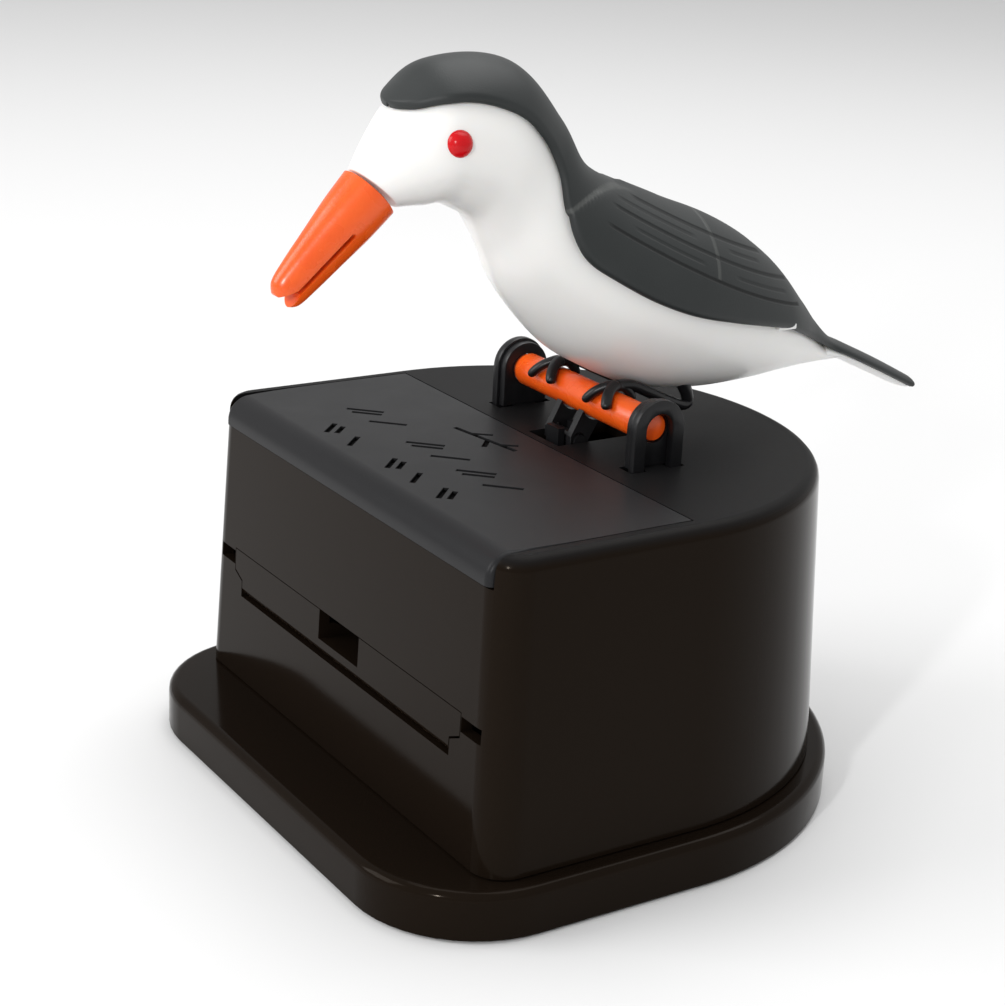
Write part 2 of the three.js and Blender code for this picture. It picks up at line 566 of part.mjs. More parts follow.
function backShell() {
  const outer = join(
    spineBody(grown(BODY, SHELL_GAP + SHELL_THICKNESS), 24, 30), spineBody(grown(TAIL, 1.1), 12, 12),
  );
  const inner = join(spineBody(grown(BODY, SHELL_GAP), 24, 30), spineBody(grown(TAIL, SHELL_GAP), 12, 12));
  return cut(outer.intersect(aboveShellEdge(0)), inner);
}

function beak() {
  const cone = spineBody(BEAK, 16, 10);
  const tip = BEAK[0];
  const lengthwise = [-Math.SQRT1_2, -Math.SQRT1_2];
  const crosswise = [-Math.SQRT1_2, Math.SQRT1_2];
  const at = (back, up) => [
    tip[0] - lengthwise[0] * back + crosswise[0] * up, tip[1] - lengthwise[1] * back + crosswise[1] * up,
  ];
  const slit = drawX(shapeFrom([at(-1, -0.85), at(13, -0.75), at(13, -0.05), at(-1, -0.15)]), -6, 6);
  const notch = drawX(shapeFrom([at(-0.4, -1.9), at(3.2, -0.45), at(-0.4, 1.1)]), -6, 6);
  return cut(cone, slit, notch);
}

// The leg from the perch back to the heel and up into the belly.
function shank(side, radius) {
  const x = side * 7.2;
  const path = new THREE.CatmullRomCurve3([
    new THREE.Vector3(x, ROD_Y + 2.4, ROD_Z + 3.2), new THREE.Vector3(x, ROD_Y + 6.1, ROD_Z + 1),
    new THREE.Vector3(side * 6.4, HEEL_Y - 3.2, HEEL_Z),
    new THREE.Vector3(side * LEG_TOP[0], HEEL_Y, HEEL_Z + 0.5),
    new THREE.Vector3(side * LEG_TOP[0], LEG_TOP[1], LEG_TOP[2] - 1.6),
    new THREE.Vector3(side * LEG_TOP[0], LEG_TOP[1], LEG_TOP[2]),
  ]);
  const section = new THREE.Shape();
  section.absarc(0, 0, radius, 0, Math.PI * 2, false);
  return toSolid(new THREE.ExtrudeGeometry(section, {
    steps: 14, curveSegments: 4, bevelEnabled: false, extrudePath: path,
  }));
}

function leg(side) {
  const x = side * 7.2;
  const toe = (centre, from, to) => {
    const claw = new THREE.Shape();
    const a = THREE.MathUtils.degToRad(from);
    const b = THREE.MathUtils.degToRad(to);
    claw.moveTo(ROD_Y + TOE_INNER * Math.cos(a), ROD_Z + TOE_INNER * Math.sin(a));
    claw.absarc(ROD_Y, ROD_Z, TOE_OUTER, a, b, false);
    claw.lineTo(ROD_Y + TOE_INNER * Math.cos(b), ROD_Z + TOE_INNER * Math.sin(b));
    claw.absarc(ROD_Y, ROD_Z, TOE_INNER, b, a, true);
    return drawX(claw, centre - 1.15, centre + 1.15, 4);
  };
  return cut(
    join(shank(side, LEG_RADIUS), toe(x - 1.6, 60, 185), toe(x + 1.6, 60, 185), toe(x, -20, 110)),
    rodX(-30, 30, ROD_Y, ROD_Z, ROD_RADIUS + GAP, 24),
  );
}

function eye(side) {
  return toSolid(new THREE.SphereGeometry(EYE.radius, 14, 10).translate(side * EYE.x, EYE.y, EYE.z));
}

// ---------------------------------------------------------------- assembly
add('bottom_cover', bottomCover(), SATIN_BLACK, 0.6);
add('base_plate', basePlate(), BLACK, 0.15);
add('housing', housing(), BLACK, 0.12);
add('lid', lid(), SATIN_BLACK, 0.45);
add('hopper', hopper(), SATIN_BLACK, 0.5);
SCREWS.forEach(([x, y], i) => add(`base_screw_${i + 1}`, baseScrew(x, y), STEEL, 0.35, 1));
add('toothpick_tray', toothpickTray(), BLACK, 0.2);
add('tray_drive_pin', rodX(-3.2, 3.2, TRAY_PIN_Y, TRAY_PIN_Z, TRAY_PIN_RADIUS, 12), STEEL, 0.3, 1);
add('push_slide', pushSlide(), SATIN_BLACK, 0.5);
add('return_spring', returnSpring(), STEEL, 0.3, 1);
add('perch_rod', perchRod(), ORANGE, 0.3);
const crankPin = rodX(-CHEEK_X - 1, CHEEK_X + 1, CRANK_PIN_Y, CRANK_PIN_Z, CRANK_PIN_RADIUS, 12);
add('crank_pin', crankPin, STEEL, 0.3, 1);
add('bird_body', birdBody(), WHITE, 0.35);
add('back_shell', backShell(), SATIN_BLACK, 0.6);
add('beak', beak(), ORANGE, 0.3);
for (const [side, name] of [[-1, 'left'], [1, 'right']]) {
  add(`perch_bracket_${name}`, perchBracket(side), BLACK, 0.3);
  add(`crank_cheek_${name}`, crankCheek(side), BLACK, 0.4);
  add(`eye_${name}`, eye(side), RED, 0.1);
  add(`leg_${name}`, leg(side), BLACK, 0.4);
}

export default parts;
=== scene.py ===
# %% [markdown]
# # A bird that pecks toothpicks out of a box
# The object is a glossy black box with a bird standing on a perch rod. Its sizes and its moving
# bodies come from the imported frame. This file gives each visible piece its fine shape and finish.
# Lengths are typed in millimetres and turned to metres by MM where a mesh is placed.

# %% Load the frame
import math

import bmesh
import bpy
from mathutils import Matrix, Vector


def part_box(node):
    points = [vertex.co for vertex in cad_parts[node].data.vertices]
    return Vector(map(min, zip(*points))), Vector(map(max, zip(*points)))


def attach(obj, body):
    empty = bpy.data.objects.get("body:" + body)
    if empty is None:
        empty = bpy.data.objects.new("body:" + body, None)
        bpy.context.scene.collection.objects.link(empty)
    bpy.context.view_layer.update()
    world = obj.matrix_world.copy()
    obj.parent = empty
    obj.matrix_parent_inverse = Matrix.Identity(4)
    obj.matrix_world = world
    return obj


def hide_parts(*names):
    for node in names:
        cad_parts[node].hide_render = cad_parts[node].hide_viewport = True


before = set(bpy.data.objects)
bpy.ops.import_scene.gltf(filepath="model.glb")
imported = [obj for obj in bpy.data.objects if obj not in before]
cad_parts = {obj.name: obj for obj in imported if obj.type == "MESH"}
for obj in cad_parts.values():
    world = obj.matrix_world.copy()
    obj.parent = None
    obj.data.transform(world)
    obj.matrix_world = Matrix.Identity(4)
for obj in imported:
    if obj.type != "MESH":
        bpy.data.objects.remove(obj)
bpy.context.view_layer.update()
MM = 0.001

# %% [markdown]
# ## The camera
# A long lens from the front left of the bird, a little above the deck. The camera is placed by the
# direction it looks from, so its angle can be read straight from the numbers.

# %% Camera
AZIMUTH, ELEVATION, ROLL = math.radians(56.57), math.radians(19.4), math.radians(2.87)
DISTANCE = 317.94
PAN = Vector((-4.95, 1.67, DISTANCE))  # sideways, up and back from the point looked at
LOOK_AT = Vector((0, 0, 40))


def make_camera():
    back = Vector((math.sin(AZIMUTH) * math.cos(ELEVATION), -math.cos(AZIMUTH) * math.cos(ELEVATION),
                   math.sin(ELEVATION)))
    level = Vector((0, 0, 1)).cross(back).normalized()
    upright = back.cross(level)
    right = level * math.cos(ROLL) + upright * math.sin(ROLL)
    up = upright * math.cos(ROLL) - level * math.sin(ROLL)
    turn = Matrix((right, up, back)).transposed()
    camera = bpy.data.objects.new("camera", bpy.data.cameras.new("camera"))
    camera.matrix_world = Matrix.Translation((LOOK_AT + turn @ PAN) * MM) @ turn.to_4x4()
    camera.data.sensor_fit = "HORIZONTAL"
    camera.data.sensor_width = 36
    camera.data.lens = 76.27
    bpy.context.scene.collection.objects.link(camera)
    bpy.context.scene.camera = camera
    return camera


print("camera at", [round(v, 4) for v in make_camera().matrix_world.translation])

# %% [markdown]
# ## Floor and light
# Glossy black plastic is only as good as what it mirrors. A big soft panel overhead gives the lid
# and deck their pale sheen, a second one fills in from the front left, a small one puts a highlight
# on the front corner, and a pale world keeps the floor and the white belly bright.

# %% Floor, world and lights
def make_floor():
    mesh = bpy.data.meshes.new("floor")
    bm = bmesh.new()
    bmesh.ops.create_grid(bm, x_segments=1, y_segments=1, size=4)
    bm.to_mesh(mesh)
    bm.free()
    floor = bpy.data.objects.new("floor", mesh)
    bpy.context.scene.collection.objects.link(floor)
    paint = bpy.data.materials.new("floor_paint")
    paint.use_nodes = True
    surface = paint.node_tree.nodes["Principled BSDF"]
    surface.inputs["Base Color"].default_value = (0.74, 0.74, 0.74, 1)
    surface.inputs["Roughness"].default_value = 0.9
    surface.inputs["Specular IOR Level"].default_value = 0.1
    mesh.materials.append(paint)


def soft_panel(name, place, target, width, height, watts, colour=(1, 1, 1)):
    lamp = bpy.data.lights.new(name, "AREA")
    lamp.shape = "RECTANGLE"
    lamp.size, lamp.size_y = width, height
    lamp.energy = watts
    lamp.color = colour
    panel = bpy.data.objects.new(name, lamp)
    aim = (Vector(target) - Vector(place)).to_track_quat("-Z", "Y").to_matrix().to_4x4()
    panel.matrix_world = Matrix.Translation(place) @ aim
    bpy.context.scene.collection.objects.link(panel)


make_floor()
world = bpy.data.worlds.new("studio")
world.use_nodes = True
world.node_tree.nodes["Background"].inputs["Color"].default_value = (1, 1, 1, 1)
world.node_tree.nodes["Background"].inputs["Strength"].default_value = 0.66
bpy.context.scene.world = world
bpy.context.scene.view_settings.view_transform = "Standard"
soft_panel("overhead", (-0.15, 0.25, 0.85), (0, 0, 0.05), 0.8, 0.8, 5)
soft_panel("front_left", (-0.35, -0.75, 0.5), (0, 0, 0.06), 0.5, 0.5, 4)
soft_panel("corner_glint", (0.32, -0.5, 0.3), (0.04, -0.03, 0.04), 0.03, 0.1, 1.4)

# %% [markdown]
# ## Writing shader maths as expressions
# A groove, a scratch or a change of gloss is a formula over the surface. This class wraps a node
# socket, so that ordinary Python arithmetic adds the Math nodes.

# %% Shader helpers
class SocketMath:
    """A shader socket that adds Math nodes when it is used in arithmetic."""

    def __init__(self, tree, socket):
        self.tree, self.socket = tree, socket

    def node(self, kind, settings=(), **inputs):
        made = self.tree.nodes.new(kind)
        for key, value in dict(settings).items():
            setattr(made, key, value)
        for key, value in inputs.items():
            spot = made.inputs[int(key[2:])] if key.startswith("in") else made.inputs[key.replace("_", " ")]
            if isinstance(value, SocketMath):
                self.tree.links.new(value.socket, spot)
            else:
                spot.default_value = value
        return SocketMath(self.tree, made.outputs[0])

    def op(self, operation, *others):
        inputs = {f"in{i}": value for i, value in enumerate((self, *others))}
        return self.node("ShaderNodeMath", {"operation": operation}, **inputs)

    def __add__(self, other): return self.op("ADD", other)
    def __radd__(self, other): return self.op("ADD", other)
    def __sub__(self, other): return self.op("SUBTRACT", other)
    def __mul__(self, other): return self.op("MULTIPLY", other)
    def __rmul__(self, other): return self.op("MULTIPLY", other)
    def __neg__(self): return self.op("MULTIPLY", -1.0)
    def __rsub__(self, other): return (-self) + other
    def __abs__(self): return self.op("ABSOLUTE")
    def highest(self, other): return self.op("MAXIMUM", other)

    def between(self, low, high):
        """0 below low, 1 above high, smooth in between."""
        return self.node("ShaderNodeMapRange", {"interpolation_type": "SMOOTHSTEP"}, Value=self,
                         From_Min=low, From_Max=high)


class Finish:
    """A new Principled material with its object coordinates at hand, in millimetres."""

    def __init__(self, name, colour, roughness, **settings):
        self.material = bpy.data.materials.new(name)
        self.material.use_nodes = True
        self.tree = self.material.node_tree
        self.shader = self.tree.nodes["Principled BSDF"]
        self.shader.inputs["Base Color"].default_value = (*colour, 1)
        self.shader.inputs["Roughness"].default_value = roughness
        for key, value in settings.items():
            self.shader.inputs[key.replace("_", " ")].default_value = value
        place = self.tree.nodes.new("ShaderNodeTexCoord")
        self.start = SocketMath(self.tree, place.outputs["Object"])
        grown = self.start.node("ShaderNodeVectorMath", {"operation": "SCALE"}, in0=self.start, Scale=1000.0)
        self.place = grown
        split = self.tree.nodes.new("ShaderNodeSeparateXYZ")
        self.tree.links.new(grown.socket, split.inputs[0])
        self.x, self.y, self.z = (SocketMath(self.tree, split.outputs[i]) for i in range(3))

    def noise(self, scale, detail=3.0, roughness=0.55):
        return self.start.node("ShaderNodeTexNoise", Vector=self.place, Scale=scale, Detail=detail,
                               Roughness=roughness)

    def mix(self, factor, first, second):
        made = self.tree.nodes.new("ShaderNodeMix")
        made.data_type = "RGBA"
        self.tree.links.new(factor.socket, made.inputs[0])
        for spot, value in ((made.inputs[6], first), (made.inputs[7], second)):
            if isinstance(value, SocketMath):
                self.tree.links.new(value.socket, spot)
            else:
                spot.default_value = (*value, 1)
        return SocketMath(self.tree, made.outputs[2])

    def feed(self, name, value):
        self.tree.links.new(value.socket, self.shader.inputs[name])

    def bump(self, height, strength=0.5, distance=0.0002):
        bent = self.start.node("ShaderNodeBump", Height=height, Strength=strength, Distance=distance)
        self.feed("Normal", bent)


print("helpers ready")

# %% [markdown]
# ## The finishes
# Seven plastics and one metal. Each reads only object coordinates, so the pattern stays on its piece
# when the bird tips over. The box is polished black, which still shows faint ripples of the mould
# and fine wipe marks. Deck and lid are the same plastic with a fine spark-eroded grain.

# %% Black plastics
DECK_TOP = 51.8


def polished_black():
    # The warm brown base colour and the warm specular tint are a painted reflection of a wooden table on the
    # walls.
    made = Finish("polished_black_plastic", (0.008, 0.0052, 0.0034), 0.1, IOR=1.14,
                  Specular_Tint=(1, 0.86, 0.72, 1))
    ripple = made.noise(0.05, 2.0)
    wipes = made.noise(1.3, 5.0, 0.7)
    on_deck = made.z.between(DECK_TOP - 1.6, DECK_TOP - 0.2)
    made.feed("Roughness", 0.07 + ripple * 0.05 + wipes * 0.06 + on_deck * 0.3)
    # Painted reflection: warm brown base colour on the walls, neutral black on the deck.
    made.feed("Base Color", made.mix(on_deck, (0.008, 0.0052, 0.0034), (0.008, 0.008, 0.0085)))
    grain = made.noise(5.0, 2.0)
    made.bump(ripple * 0.5 + grain * on_deck * 0.35, 0.3, 0.0001)
    return made.material


def grained_black():
    made = Finish("grained_black_plastic", (0.016, 0.016, 0.017), 0.42, IOR=1.2)
    # Mask of the engraved strokes' floors: they are made rougher and are painted with shade.
    engraved = 1.0 - made.z.between(DECK_TOP - 0.45, DECK_TOP - 0.1)
    engraved = engraved * made.y.between(-29.5, -29.0)
    cloud = made.noise(0.12, 3.0)
    grain = made.noise(5.0, 2.0)
    edge = 1.0 - made.y.between(-33.2, -30.0)
    made.feed("Roughness", (0.33 + cloud * 0.12 + engraved * 0.4) * (1.0 - edge * 0.2))
    # Painted shade: the engraved floors are painted near black.
    made.feed("Base Color", made.mix(engraved, (0.016, 0.016, 0.017), (0.001, 0.001, 0.001)))
    made.bump(grain * 0.25 * (1.0 - edge), 0.5, 0.0001)
    return made.material


def satin_black():
    made = Finish("satin_black_plastic", (0.006, 0.006, 0.0065), 0.34, IOR=1.4)
    cloud = made.noise(0.3, 4.0)
    made.feed("Roughness", 0.26 + cloud * 0.14)
    made.feed("Base Color", made.mix(cloud, (0.005, 0.005, 0.0055), (0.009, 0.009, 0.01)))
    made.bump(made.noise(3.0, 2.0), 0.15, 0.0001)
    return made.material


POLISHED, GRAINED, SATIN = polished_black(), grained_black(), satin_black()
print("black finishes:", POLISHED.name, GRAINED.name, SATIN.name)

# %% [markdown]
# The bird's back is charcoal plastic with feather grooves moulded into each wing. A groove is thin
# and shallow, so it's drawn as a bump along a curve in side view, with painted shade in it. The raised
# rib that crosses the wing is a bump drawn the same way; it and the wing's leading edge get a painted
# highlight.

# %% Colours of the bird and the perch
WING_CENTRE, WING_RADIUS, WING_RISE = (4.2, 75.0), 15.3, 0.6


def groove_line(made, lift, start, end):
    """A groove that runs along the wing between two places on y, lift above the lowest one."""
    curve = 87.3 + lift - made.y * 0.62 + made.y * made.y * 0.0051
    inside = made.y.between(start, start + 1.6) * (1.0 - made.y.between(end - 1.6, end))
    return (1.0 - abs(made.z - curve).between(0.1, 0.42)) * inside


def charcoal():
    made = Finish("charcoal_plastic", (0.018, 0.021, 0.021), 0.5, IOR=1.4)
    grooves = groove_line(made, 0.0, 1.5, 39.5)
    for lift, start, end in ((3.4, 3.5, 38), (6.4, 8, 33)):
        grooves = grooves.highest(groove_line(made, lift, start, end) * 0.8)
    for lift, start, end in ((1.7, 6, 18), (5.0, 5, 18), (1.6, 23, 36), (5.0, 23, 31)):
        grooves = grooves.highest(groove_line(made, lift, start, end) * 0.4)
    rib_place = made.y - (20.4 + (made.z - 80.0) * 0.25)
    main = 87.3 - made.y * 0.62 + made.y * made.y * 0.0051
    rib = (1.0 - abs(rib_place).between(0.2, 0.5)) * (made.z - main).between(0.0, 0.5)
    off_y, off_z = made.y - WING_CENTRE[0], made.z - WING_CENTRE[1]
    ring = (off_y * off_y + off_z * off_z).op("SQRT") - WING_RADIUS
    shoulder = (1.0 - abs(ring).between(0.1, 0.4)) * (1.0 - made.y.between(6.0, 11.0))
    # Painted highlight: a pale line along the rib and along the wing's leading edge.
    ridge_highlight = rib.highest(shoulder) * 0.45
    cloud = made.noise(0.16, 4.0)
    colour = made.mix(cloud, (0.015, 0.018, 0.018), (0.023, 0.026, 0.026))
    highlighted = made.mix(ridge_highlight, colour, (0.09, 0.095, 0.09))
    # Painted shade: the groove floors are painted near black.
    made.feed("Base Color", made.mix(grooves, highlighted, (0.004, 0.005, 0.005)))
    made.feed("Roughness", 0.42 + cloud * 0.14 + grooves * 0.2)
    made.bump(made.noise(4.0, 2.0) * 0.2 - grooves * 2.6 + rib * 1.4, 0.7, 0.00014)
    return made.material


def white_plastic():
    made = Finish("white_plastic", (0.8, 0.79, 0.76), 0.3, Subsurface_Weight=0.15, Coat_Weight=0.15,
                  Subsurface_Radius=(0.004, 0.003, 0.002), Subsurface_Scale=0.6)
    cloud = made.noise(0.06, 3.0)
    made.feed("Base Color", made.mix(cloud, (0.8, 0.79, 0.765), (0.86, 0.855, 0.84)))
    made.feed("Roughness", 0.24 + made.noise(0.8, 4.0) * 0.14)
    made.bump(made.noise(0.12, 2.0), 0.06, 0.0003)
    return made.material


def orange_plastic():
    made = Finish("orange_plastic", (0.85, 0.13, 0.012), 0.25, Subsurface_Weight=0.2,
                  Subsurface_Radius=(0.004, 0.0015, 0.0005), Subsurface_Scale=0.5)
    flow = made.noise(0.22, 3.0)
    made.feed("Base Color", made.mix(flow, (0.74, 0.075, 0.004), (0.85, 0.12, 0.009)))
    made.feed("Roughness", 0.2 + flow * 0.14)
    made.bump(made.noise(1.5, 2.0), 0.08, 0.0002)
    return made.material


def red_eye():
    made = Finish("red_glossy_plastic", (0.5, 0.003, 0.006), 0.2, IOR=1.3)
    swirl = made.noise(0.7, 3.0)
    made.feed("Base Color", made.mix(swirl, (0.46, 0.003, 0.006), (0.58, 0.006, 0.01)))
    made.feed("Roughness", 0.16 + swirl * 0.08)
    return made.material


def bright_steel():
    made = Finish("bright_steel", (0.6, 0.6, 0.62), 0.28, Metallic=1.0)
    turning = made.noise(2.5, 4.0, 0.6)
    made.feed("Roughness", 0.2 + turning * 0.2)
    made.feed("Base Color", made.mix(turning, (0.52, 0.52, 0.54), (0.66, 0.66, 0.68)))
    return made.material


CHARCOAL, WHITE, ORANGE, RED, STEEL = charcoal(), white_plastic(), orange_plastic(), red_eye(), bright_steel()
print("bird finishes ready")

# %% [markdown]
# ## Putting a piece into the scene
# Every piece goes through the same three steps: its bmesh becomes a mesh in metres, it gets its
# finish, and it is hung on the body it rides on, while the frame's plain solids it stands for are hidden.

# %% Piece helpers
def place_piece(name, bm, finish, body, stands_for=(), sharp=35, subdivide=0):
    bmesh.ops.remove_doubles(bm, verts=bm.verts, dist=0.0005)
    bmesh.ops.recalc_face_normals(bm, faces=bm.faces)
    bmesh.ops.scale(bm, vec=(MM, MM, MM), verts=bm.verts)
    mesh = bpy.data.meshes.new(name)
    bm.to_mesh(mesh)
    bm.free()
    mesh.shade_smooth()
    if sharp:
        mesh.set_sharp_from_angle(angle=math.radians(sharp))
    piece = bpy.data.objects.new(name, mesh)
    bpy.context.scene.collection.objects.link(piece)
    mesh.materials.append(finish)
    if subdivide:
        smoother = piece.modifiers.new("subdivision", "SUBSURF")
        smoother.levels = smoother.render_levels = subdivide
    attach(piece, body)
    if stands_for:
        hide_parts(*stands_for)
    return piece


def carve(bm, *cutters):
    """Cuts closed bmeshes out of another with Blender's exact boolean."""
    scene = bpy.context.scene.collection
    holders = []
    for i, shape in enumerate((bm, *cutters)):
        bmesh.ops.recalc_face_normals(shape, faces=shape.faces)
        mesh = bpy.data.meshes.new(f"carve_{i}")
        shape.to_mesh(mesh)
        holder = bpy.data.objects.new(f"carve_{i}", mesh)
        scene.objects.link(holder)
        holders.append(holder)
        if i:
            shape.free()
            cut = holders[0].modifiers.new(f"cut_{i}", "BOOLEAN")
            cut.operation, cut.solver, cut.object = "DIFFERENCE", "EXACT", holder
    graph = bpy.context.evaluated_depsgraph_get()
    bm.clear()
    bm.from_object(holders[0], graph)
    for holder in holders:
        mesh = holder.data
        bpy.data.objects.remove(holder)
        bpy.data.meshes.remove(mesh)
    return bm


def block(x0, x1, y0, y1, z0, z1):
    bm = bmesh.new()
    bmesh.ops.create_cube(bm, size=1)
    bmesh.ops.scale(bm, vec=(x1 - x0, y1 - y0, z1 - z0), verts=bm.verts)
    bmesh.ops.translate(bm, vec=((x0 + x1) / 2, (y0 + y1) / 2, (z0 + z1) / 2), verts=bm.verts)
    return bm


def rounded(bm, edges, radius, segments):
    return bmesh.ops.bevel(bm, geom=list(edges), offset=radius, segments=segments, profile=0.5,
                           affect="EDGES", material=-1)


def upright_edges(bm, front):
    """The vertical edges at a block's front, or only those at its back."""
    for edge in bm.edges:
        a, b = (v.co for v in edge.verts)
        if abs(a.z - b.z) > 0.1 and abs(a.x - b.x) + abs(a.y - b.y) < 0.01:
            if (a.y < 0) == front:
                yield edge


def rim_edges(bm, height):
    """The edges round a level face at that height."""
    return [e for e in bm.edges if all(abs(v.co.z - height) < 0.01 for v in e.verts)
            and any(abs(f.normal.z) < 0.5 for f in e.link_faces)]


print("piece helpers ready")

# %% [markdown]
# ## The box
# Seen from above, the base and the housing are both a square front joined to a round rear end. A
# block becomes that shape when its two rear edges are bevelled by half its width and its front
# edges by their small radius. The walls then lean in a little as they rise, as a moulding does.

# %% A D-shaped block
ARC_CENTRE = 0.3


def even_out(piece):
    """Shades each big flat face by its own direction, so that small bevels don't tint it."""
    shading = piece.modifiers.new("even shading", "WEIGHTED_NORMAL")
    shading.keep_sharp, shading.weight = True, 100
    return piece


def d_block(half_width, front, corner, bottom, top, fillet, lean=(0, 0, 0)):
    rear = ARC_CENTRE + half_width
    bm = block(-half_width, half_width, front, rear, bottom, top)
    rounded(bm, upright_edges(bm, front=False), half_width - 0.01, 40)
    rounded(bm, upright_edges(bm, front=True), corner, 12)
    bmesh.ops.remove_doubles(bm, verts=bm.verts, dist=0.03)
    if fillet:
        rounded(bm, rim_edges(bm, top), fillet, 5)
    side, forward, backward = lean
    for v in bm.verts:
        rise = v.co.z - bottom
        v.co.x *= 1 - side * rise / half_width
        v.co.y *= 1 - (forward / -front if v.co.y < 0 else backward / half_width) * rise
    return bm


# %% Base plate
BASE_TOP = 7.4
base = d_block(46, -45.2, 18, 0.3, BASE_TOP, 1.4)
rounded(base, rim_edges(base, 0.3), 0.4, 2)
carve(base, d_block(44.2, -43.4, 16.2, -2, BASE_TOP - 1.8, 0))
even_out(place_piece("base_moulding", base, POLISHED, "box", ["base_plate"]))
low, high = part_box("base_plate")
print("frame's base plate, mm:", [round((b - a) / MM, 1) for a, b in zip(low, high)])

# %% [markdown]
# The housing is hollow, so the tray mouth, the end windows and the slots in the deck really open
# into the dark. Its walls are cut by plain cutters, each made where the frame's tray and perch are.

# %% Housing
LEAN = (0.047, 0.034, 0.06)
FOOT = BASE_TOP + 0.3
LID_HALF, LID_REAR, SKIRT = 38.1, -0.9, 47.5


def moved_verts(extruded):
    """The new vertices that an extrusion hands back, ready to be moved."""
    return [v for v in extruded["geom"] if isinstance(v, bmesh.types.BMVert)]


def mouth_cutter():
    """The tray's opening: straight sides that turn in to a narrower foot."""
    bm = bmesh.new()
    outline = [(-33.65, 28.54), (33.65, 28.54), (33.65, 24.85), (31.2, 23.75), (31.2, 21.3), (-31.2, 21.3),
               (-31.2, 23.75), (-33.65, 24.85)]
    face = bm.faces.new([bm.verts.new((x, -38, z)) for x, z in outline])
    body = bmesh.ops.extrude_face_region(bm, geom=[face])
    bmesh.ops.translate(bm, vec=(0, 9.2, 0), verts=moved_verts(body))
    return bm


def make_housing():
    shell = d_block(43.2, -33.7, 5, FOOT, DECK_TOP, 2, LEAN)
    inside = d_block(41.4, -31.9, 3.2, FOOT - 1, DECK_TOP - 2, 1, LEAN)
    lid_well = block(-LID_HALF - 0.25, LID_HALF + 0.25, -45, LID_REAR + 0.25, SKIRT - 0.3, 60)
    rounded(lid_well, upright_edges(lid_well, front=False), 2.2, 6)
    windows = [block(33.7, 38.5, -36, -30, 25.8, 28), block(-38.5, -33.7, -36, -30, 25.8, 28)]
    crank_slot = block(-4, 4, 0.6, 14.8, 45, 60)
    tabs = [block(x - 1.6, x + 1.6, y - 1.35, y + 1.35, 45, 60) for x in (-17.4, 17.4) for y in (4.35, 11.05)]
    carve(shell, inside, lid_well, mouth_cutter(), *windows, crank_slot, *tabs)
    return place_piece("housing_moulding", shell, POLISHED, "box", ["housing"], sharp=28)


even_out(make_housing())
print("housing open at the tray mouth and the deck slots")

# %% [markdown]
# The lid drops into the deck and folds over the front wall in one large round edge. It is a block
# with that edge bevelled, hollowed from below, so its skirt hangs just proud of the front wall.

# %% Lid
# The lid is engraved with a plain pattern of toothpicks: a row of long ones, a row of short ones
# and a small sprig between the rows and the perch.
LONG_ROW = [((x - 2.4, -18.8), (x + 1.6, -14.6)) for x in (-22.5, -15.5, -4.5, 2.5, 9.5, 16.5)]
LONG_ROW += [((x - 0.6, -18.9), (x + 2.6, -15.5)) for x in (-22.5, -4.5, 9.5)]
SHORT_ROW = [((x - 1.4, -24), (x + 1.8, -27.2)) for x in (-17.5, -10.5, 0.5, 7.5, 14.5)]
SHORT_ROW += [((x + 0.4, -23.6), (x + 2.8, -26)) for x in (-17.5, 0.5, 14.5)]
SPRIG = [((-10, -8.6), (3.4, -6.4)), ((-6.4, -8), (-4.4, -5.4)), ((-2.6, -7.4), (-0.2, -9.6)),
         ((0, -7), (1.6, -4.8))]


def stroke_cutter(start, end):
    """A slim block laid along a stroke, sunk 0.6 mm into the lid."""
    (ax, ay), (bx, by) = start, end
    bm = block(0, math.hypot(bx - ax, by - ay), -0.42, 0.42, DECK_TOP - 0.6, DECK_TOP + 2)
    turn = Matrix.Rotation(math.atan2(by - ay, bx - ax), 4, "Z")
    bmesh.ops.transform(bm, matrix=Matrix.Translation((ax, ay, 0)) @ turn, verts=bm.verts)
    return bm


def make_lid():
    front = -33.7 + LEAN[1] * (DECK_TOP - FOOT) - 0.5
    lid = block(-LID_HALF, LID_HALF, front, LID_REAR, SKIRT, DECK_TOP)
    rounded(lid, upright_edges(lid, front=False), 2, 6)
    front_top = [e for e in lid.edges
                 if all(abs(v.co.y - front) < 0.01 and v.co.z > DECK_TOP - 0.01 for v in e.verts)]
    rounded(lid, front_top, 3.6, 10)
    side_front = [e for e in lid.edges if all(v.co.y < front + 3.65 for v in e.verts)
                  and all(abs(abs(v.co.x) - LID_HALF) < 0.01 for v in e.verts)
                  and e.verts[0].co.x * e.verts[1].co.x > 0
                  and abs(e.link_faces[0].normal.x - e.link_faces[1].normal.x) > 0.5]
    rounded(lid, side_front, 1.1, 4)
    hollow = block(-LID_HALF + 1.6, LID_HALF - 1.6, front + 1.6, LID_REAR + 5, SKIRT - 2, DECK_TOP - 1.7)
    carve(lid, hollow)
    carve(lid, *[stroke_cutter(a, b) for a, b in LONG_ROW + SHORT_ROW + SPRIG])
    return place_piece("lid_moulding", lid, GRAINED, "box", ["lid"], sharp=32)


even_out(make_lid())

# %% [markdown]
# The tray and the crank cheeks are seen, so merged copies of them with softened edges stand in for
# the frame's own meshes. The hidden drive pieces keep the frame's mesh and only get a finish.

